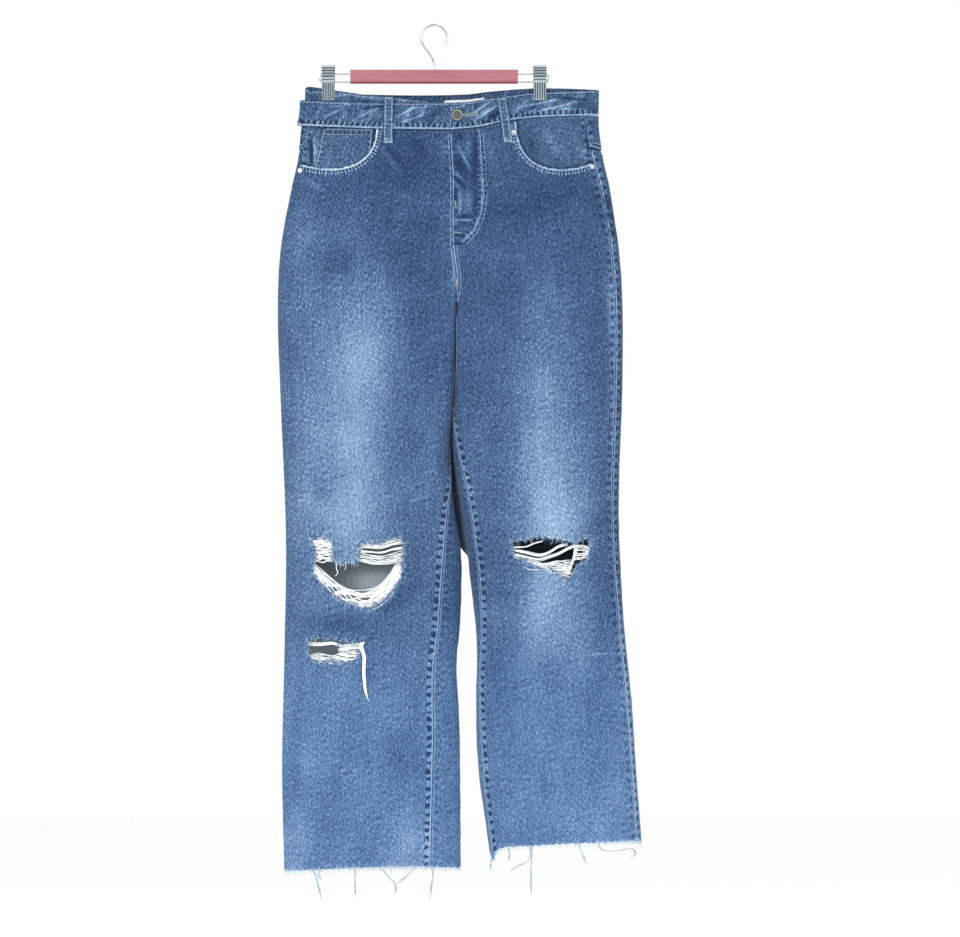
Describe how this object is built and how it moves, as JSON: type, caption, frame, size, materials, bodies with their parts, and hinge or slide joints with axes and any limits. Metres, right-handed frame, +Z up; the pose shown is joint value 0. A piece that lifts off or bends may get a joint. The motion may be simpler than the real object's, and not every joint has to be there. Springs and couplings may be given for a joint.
{
  "type": "ripped jeans on a clip hanger",
  "caption": "Wide straight-leg high-rise denim jeans with ripped knees and raw frayed hems, hung flat by the waistband from a wooden clip hanger.",
  "frame": {"origin": "inner top of the hanger's hook, where it rests on a rail", "axes": "+Z up, -Y towards the front of the jeans, +X towards the wearer's left"},
  "size_m": [0.4906, 0.0919, 1.1449],
  "materials": {
    "denim": "washed cotton twill",
    "label_cotton": "white woven tape",
    "button_metal": "aged nickel over brass",
    "rivet_metal": "worn nickel",
    "bar_wood": "satin stained and varnished",
    "steel_wire": "bright drawn wire",
    "clip_steel": "pressed and plated sheet"
  },
  "bodies": {
    "root": {"front_right": "denim", "front_left": "denim", "back_right": "denim", "back_left": "denim", "yoke_right": "denim", "yoke_left": "denim", "back_pocket_right": "denim", "back_pocket_left": "denim", "pocket_facing_right": "denim", "pocket_facing_left": "denim", "coin_pocket": "denim", "waistband_front_right": "denim", "waistband_fold": "denim", "waistband_front_left": "denim", "waistband_back": "denim", "label": "label_cotton", "belt_loop_front_right": "denim", "belt_loop_front_left": "denim", "belt_loop_side_right": "denim", "belt_loop_side_left": "denim", "belt_loop_back": "denim", "button": "button_metal", "rivet_front_left": "rivet_metal", "rivet_side_left": "rivet_metal", "rivet_side_right": "rivet_metal", "hanger_bar": "bar_wood", "hanger_hook": "steel_wire", "clip_arm_right": "steel_wire", "clip_arm_left": "steel_wire", "clip_right_front": "clip_steel", "clip_right_back": "clip_steel", "clip_left_front": "clip_steel", "clip_left_back": "clip_steel", "clip_pin_right": "steel_wire", "clip_pin_left": "steel_wire"}
  },
  "joints": []
}
